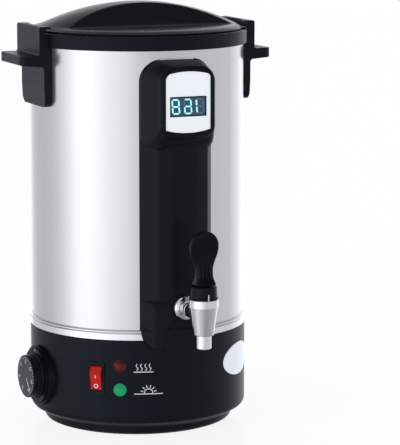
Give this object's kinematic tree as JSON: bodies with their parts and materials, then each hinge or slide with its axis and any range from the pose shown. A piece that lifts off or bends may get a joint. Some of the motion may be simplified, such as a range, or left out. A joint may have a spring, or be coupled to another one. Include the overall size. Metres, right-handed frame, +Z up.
{
  "type": "candle wax melter",
  "caption": "Free-standing electric wax melter: a lidded steel pot on a black control base, with a display column and a self-closing lever tap in front.",
  "frame": {"origin": "centre of the ring that the base stands on, on the pot's axis", "axes": "+Z up, -Y towards the tap and display, +X towards the viewer's right when facing the tap"},
  "size_m": [0.273, 0.3041, 0.4335],
  "materials": {
    "black_plastic": "fine-textured black polypropylene",
    "handle_plastic": "satin black phenolic",
    "lid_plastic": "satin black polypropylene",
    "column_plastic": "fine-textured black ABS",
    "lever_plastic": "glossy black lever plastic",
    "knob_plastic": "satin black plastic",
    "rubber": "black rubber",
    "silicone": "translucent silicone",
    "screw_steel": "zinc-plated steel",
    "bare_aluminium": "plain aluminium sheet",
    "bright_chrome": "polished chrome plating",
    "brushed_shell": "satin stainless steel",
    "pot_steel": "drawn stainless steel",
    "element_steel": "heat-tinted steel sheath",
    "wool_wrap": "mineral wool blanket",
    "dark_ceramic": "dark ceramic and phenolic",
    "copper": "copper tube",
    "brass": "plated brass",
    "knob_silver": "spun silver disc with a printed scale",
    "rocker_red": "translucent red plastic",
    "lamp_red": "moulded red lens",
    "lamp_green": "moulded green lens, lit",
    "white_plastic": "white nylon",
    "badge_silver": "pale satin foil",
    "wire_sleeve": "woven glass-fibre sleeving",
    "label_white": "white front film",
    "display_blue": "dark teal display",
    "display_glass": "clear tinted window",
    "digit_light": "lit display segment",
    "circuit_board": "green coated board"
  },
  "bodies": {
    "root": {"bottom_cover": "black_plastic", "foot_ring": "rubber", "bottom_screws": "screw_steel", "base_housing": "black_plastic", "heat_shield": "bare_aluminium", "base_bolts": "screw_steel", "trim_ring": "bright_chrome", "outer_shell": "brushed_shell", "insulation_wrap": "wool_wrap", "inner_pot": "pot_steel", "collar": "black_plastic", "heating_element": "element_steel", "thermal_cutoff": "dark_ceramic", "thermostat_body": "bare_aluminium", "thermostat_screws": "screw_steel", "sensor_bulb": "copper", "knob_bezel": "black_plastic", "switch_frame": "knob_plastic", "red_lamp": "lamp_red", "green_lamp": "lamp_green", "lamp_bodies": "white_plastic", "badge_plate": "badge_silver", "power_inlet": "black_plastic", "inlet_pins": "brass", "terminal_block": "white_plastic", "mains_wiring": "wire_sleeve", "left_handle": "handle_plastic", "right_handle": "handle_plastic", "handle_screws": "screw_steel", "panel_housing": "column_plastic", "panel_screws": "screw_steel", "label_plate": "label_white", "display_bezel": "black_plastic", "display_window": "display_glass", "display_module": "display_blue", "display_digits": "digit_light", "control_board": "circuit_board", "board_screws": "screw_steel", "temperature_probe": "element_steel", "tap_body": "bright_chrome", "tap_ring": "bright_chrome", "tap_spacers": "rubber", "tap_washer": "silicone", "tap_nut": "screw_steel", "tap_bonnet": "knob_plastic"},
    "lid_base": {"lid_plate": "pot_steel", "lid_seal": "silicone"},
    "lid_top": {"lid_cover": "lid_plastic", "lid_pivot_screw": "screw_steel"},
    "valve": {"tap_stem": "screw_steel", "seat_cup": "silicone", "lever_pin": "screw_steel"},
    "lever": {"tap_lever": "lever_plastic"},
    "knob_body": {"knob": "knob_plastic", "knob_face": "knob_silver", "thermostat_shaft": "screw_steel"},
    "rocker": {"switch_rocker": "rocker_red"}
  },
  "joints": [
    {"name": "lid_lift", "type": "slide", "parent": "root", "child": "lid_base", "axis": [0, 0, 1], "range_m": [0, 0.12]},
    {"name": "lid_turn", "type": "hinge", "parent": "lid_base", "child": "lid_top", "pos_m": [0, 0, 0.4], "axis": [0, 0, 1], "range_deg": [0, 26]},
    {"name": "stem_lift", "type": "slide", "parent": "root", "child": "valve", "axis": [0, 0, 1], "range_m": [0, 0.005]},
    {"name": "lever_tilt", "type": "hinge", "parent": "valve", "child": "lever", "pos_m": [0, -0.176, 0.1715], "axis": [1, 0, 0], "range_deg": [0, 30], "stiffness_Nm_per_rad": 0.25},
    {"name": "knob_turn", "type": "hinge", "parent": "root", "child": "knob_body", "pos_m": [-0.11971, -0.00837, 0.053], "axis": [-0.9976, -0.0698, 0], "range_deg": [-160, 140]},
    {"name": "rocker_tilt", "type": "hinge", "parent": "root", "child": "rocker", "pos_m": [-0.0751, -0.07969, 0.062], "axis": [-0.7278, 0.6858, 0], "range_deg": [0, 20]}
  ],
  "couplings": [
    {"joint": "stem_lift", "follows": "lever_tilt", "m_per_rad": 0.0095}
  ]
}
